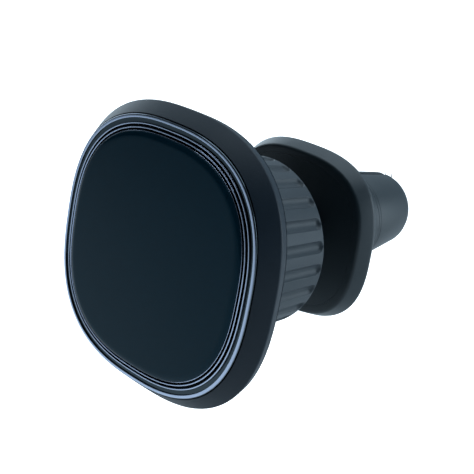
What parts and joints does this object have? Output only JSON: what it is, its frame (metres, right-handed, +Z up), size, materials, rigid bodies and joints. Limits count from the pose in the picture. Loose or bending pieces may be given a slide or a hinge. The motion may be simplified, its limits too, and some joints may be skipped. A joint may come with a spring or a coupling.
{
  "type": "car phone mount",
  "caption": "Magnetic phone holder with a rounded-square gloss panel, a ball joint tightened by a fluted collar, and a spring clip that grips a car's air vent.",
  "frame": {"origin": "the middle of the clip's mouth, between the tips of the two jaws", "axes": "+X to the right of someone facing the panel, +Y from the panel towards the vent along the clip, +Z up"},
  "size_m": [0.0498, 0.0679, 0.0497],
  "materials": {
    "panel": "high gloss",
    "tape": "adhesive",
    "trim": "polished",
    "shell": "fine matte",
    "inner": "moulded",
    "magnet": "nickel plated",
    "steel": "zinc plated",
    "screw": "blackened",
    "soft": "matte",
    "slip": "acetal",
    "collar": "fine matte",
    "ball": "satin",
    "brass": "turned",
    "skin": "soft matte"
  },
  "bodies": {
    "clip": {"clip_base": "inner", "vent_pad": "skin", "ball_stud": "ball", "stud_insert": "brass", "jaw_pins": "steel", "jaw_spring": "steel"},
    "liner": {"ball_liner": "soft"},
    "seat": {"seat_ring": "inner"},
    "head": {"face_panel": "panel", "panel_tape": "tape", "trim_ring": "trim", "head_bezel": "shell", "magnet_carrier": "inner", "magnets": "magnet", "yoke_plate": "steel", "back_cover": "shell", "head_screws": "screw", "socket_boss": "inner", "socket_screws": "steel"},
    "washer": {"collar_washer": "slip"},
    "collar": {"lock_collar": "collar"},
    "jaw_left": {"jaw_left": "inner", "jaw_skin_left": "skin", "jaw_pad_left": "soft"},
    "jaw_right": {"jaw_right": "inner", "jaw_skin_right": "skin", "jaw_pad_right": "soft"}
  },
  "joints": [
    {"name": "ball_pitch", "type": "hinge", "parent": "clip", "child": "liner", "pos_m": [0, -0.0484, 0], "axis": [1, 0, 0], "range_deg": [-14, 22]},
    {"name": "ball_yaw", "type": "hinge", "parent": "liner", "child": "seat", "pos_m": [0, -0.0484, 0], "axis": [0, 0.0698, 0.9976], "range_deg": [-18, 18]},
    {"name": "head_spin", "type": "hinge", "parent": "seat", "child": "head", "pos_m": [0, -0.0484, 0], "axis": [0, -0.9976, 0.0698], "continuous": true},
    {"name": "collar_turn", "type": "hinge", "parent": "washer", "child": "collar", "pos_m": [0, -0.0484, 0], "axis": [0, 0.9976, -0.0698], "range_deg": [0, 270]},
    {"name": "collar_travel", "type": "slide", "parent": "head", "child": "washer", "axis": [0, 0.9976, -0.0698], "range_m": [0, 0.0015]},
    {"name": "jaw_left_open", "type": "hinge", "parent": "clip", "child": "jaw_left", "pos_m": [-0.00455, -0.0184, 0], "axis": [0, 0, 1], "range_deg": [0, 5], "stiffness_Nm_per_rad": 0.35, "springref_deg": -5.73, "deforming": ["jaw_spring"]},
    {"name": "jaw_right_open", "type": "hinge", "parent": "clip", "child": "jaw_right", "pos_m": [0.00455, -0.0184, 0], "axis": [0, 0, -1], "range_deg": [0, 5], "stiffness_Nm_per_rad": 0.35, "springref_deg": -5.73, "deforming": ["jaw_spring"]}
  ],
  "couplings": [
    {"joint": "collar_turn", "follows": "collar_travel", "rad_per_m": 3141.6}
  ]
}
